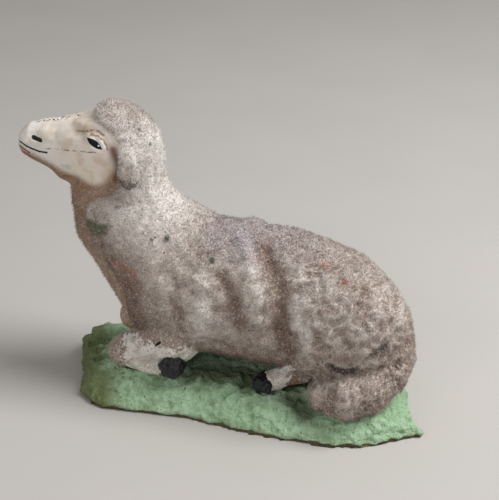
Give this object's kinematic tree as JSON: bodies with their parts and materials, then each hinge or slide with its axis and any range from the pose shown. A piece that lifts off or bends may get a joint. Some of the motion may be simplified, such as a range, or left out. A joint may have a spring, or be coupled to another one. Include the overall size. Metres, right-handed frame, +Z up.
{
  "type": "sheep figurine",
  "caption": "Small figurine of a resting sheep with a flocked coat, painted face and dark hooves, lying on a low green mound.",
  "frame": {"origin": "on the mound's flat underside, under the sheep's middle", "axes": "+X from the head towards the tail, +Y to the sheep's right, +Z up"},
  "size_m": [0.118, 0.0434, 0.0873],
  "materials": {
    "mound_paint": "satin green paint over pressed composition",
    "face_paint": "glossy cream paint over pressed composition",
    "flock": "matt pale flock, glued on",
    "leg_paint": "worn off-white paint over pressed composition",
    "hoof_paint": "thick glossy black paint over pressed composition"
  },
  "bodies": {
    "root": {"base_mound": "mound_paint", "body_half_left": "face_paint", "body_half_right": "face_paint", "fleece_coat": "flock", "fleece_cap": "flock", "ear_left": "flock", "ear_right": "flock", "tail": "flock", "foreleg_left": "leg_paint", "foreleg_right": "leg_paint", "hind_foot_left": "leg_paint", "hind_foot_right": "leg_paint", "hoof_fore_left": "hoof_paint", "hoof_fore_right": "hoof_paint", "hoof_hind_left": "hoof_paint", "hoof_hind_right": "hoof_paint"}
  },
  "joints": []
}
